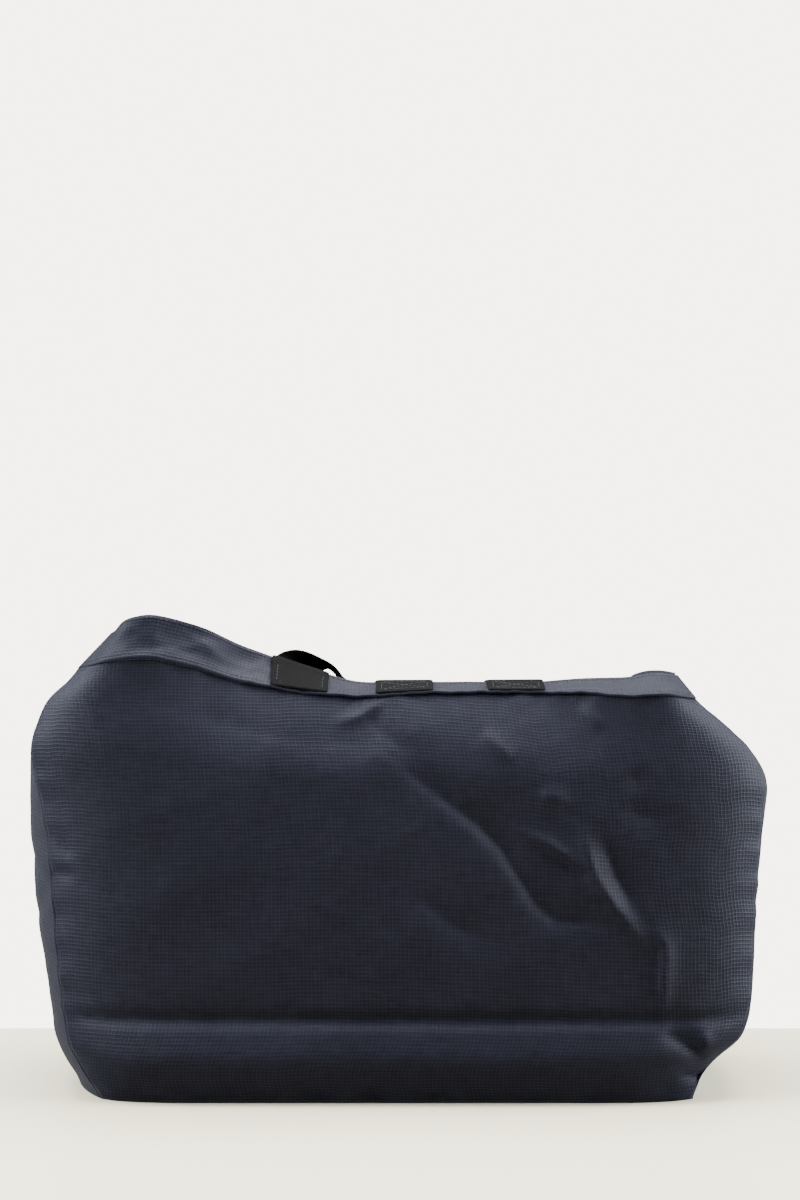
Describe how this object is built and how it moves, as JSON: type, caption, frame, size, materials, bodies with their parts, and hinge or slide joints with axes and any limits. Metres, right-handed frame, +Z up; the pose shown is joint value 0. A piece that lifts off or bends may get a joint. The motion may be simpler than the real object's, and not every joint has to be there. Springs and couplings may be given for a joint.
{
  "type": "foldable tote bag",
  "caption": "Wide open-topped fabric tote standing on its base, with hemmed mouth, webbing hand loops hanging inside and a press-stud closing tab; walls push together to flatten it.",
  "frame": {"origin": "on the floor under the middle of the bag's bounding box", "axes": "+X to the right seen from the front, +Y from the front wall to the back wall, +Z up through the mouth"},
  "size_m": [0.497, 0.2402, 0.3171],
  "materials": {
    "navy_ripstop": "satin ripstop weave",
    "navy_hem": "doubled satin ripstop weave",
    "binding_tape": "matte woven tape",
    "black_webbing": "ribbed woven webbing",
    "dark_metal": "dark satin metal"
  },
  "bodies": {
    "front": {"front_panel": "navy_ripstop", "front_hem_band": "navy_hem", "left_gusset": "navy_ripstop", "right_gusset": "navy_ripstop", "left_hem_band": "navy_hem", "right_hem_band": "navy_hem", "base_panel": "navy_ripstop", "front_left_binding": "binding_tape", "front_right_binding": "binding_tape", "front_base_binding": "binding_tape", "front_handle_end_left": "black_webbing", "front_handle_end_right": "black_webbing", "front_tab_end": "black_webbing"},
    "back": {"back_panel": "navy_ripstop", "back_hem_band": "navy_hem", "back_left_binding": "binding_tape", "back_right_binding": "binding_tape", "back_base_binding": "binding_tape", "back_handle_end_left": "black_webbing", "back_handle_end_right": "black_webbing", "back_tab_end": "black_webbing"},
    "front_handle": {"front_handle": "black_webbing"},
    "back_handle": {"back_handle": "black_webbing"},
    "front_tab": {"front_tab": "black_webbing", "snap_cap": "dark_metal", "snap_socket": "dark_metal"},
    "back_tab": {"back_tab": "black_webbing", "snap_stud": "dark_metal", "snap_post": "dark_metal"}
  },
  "joints": [
    {"name": "collapse", "type": "slide", "parent": "front", "child": "back", "axis": [0, -1, 0], "range_m": [0, 0.11], "deforming": ["left_gusset", "right_gusset", "left_hem_band", "right_hem_band", "base_panel"]},
    {"name": "front_handle_swing", "type": "hinge", "parent": "front", "child": "front_handle", "pos_m": [0.00044, -0.05389, 0.2863], "axis": [1, 0, 0], "range_deg": [0, 176]},
    {"name": "back_handle_swing", "type": "hinge", "parent": "back", "child": "back_handle", "pos_m": [0.00044, 0.08287, 0.26826], "axis": [-1, 0, 0], "range_deg": [0, 176]},
    {"name": "front_tab_swing", "type": "hinge", "parent": "front", "child": "front_tab", "pos_m": [0.00044, -0.05199, 0.28007], "axis": [1, 0, 0], "range_deg": [0, 176]},
    {"name": "back_tab_swing", "type": "hinge", "parent": "back", "child": "back_tab", "pos_m": [0.00044, 0.08245, 0.26451], "axis": [-1, 0, 0], "range_deg": [0, 176]}
  ]
}
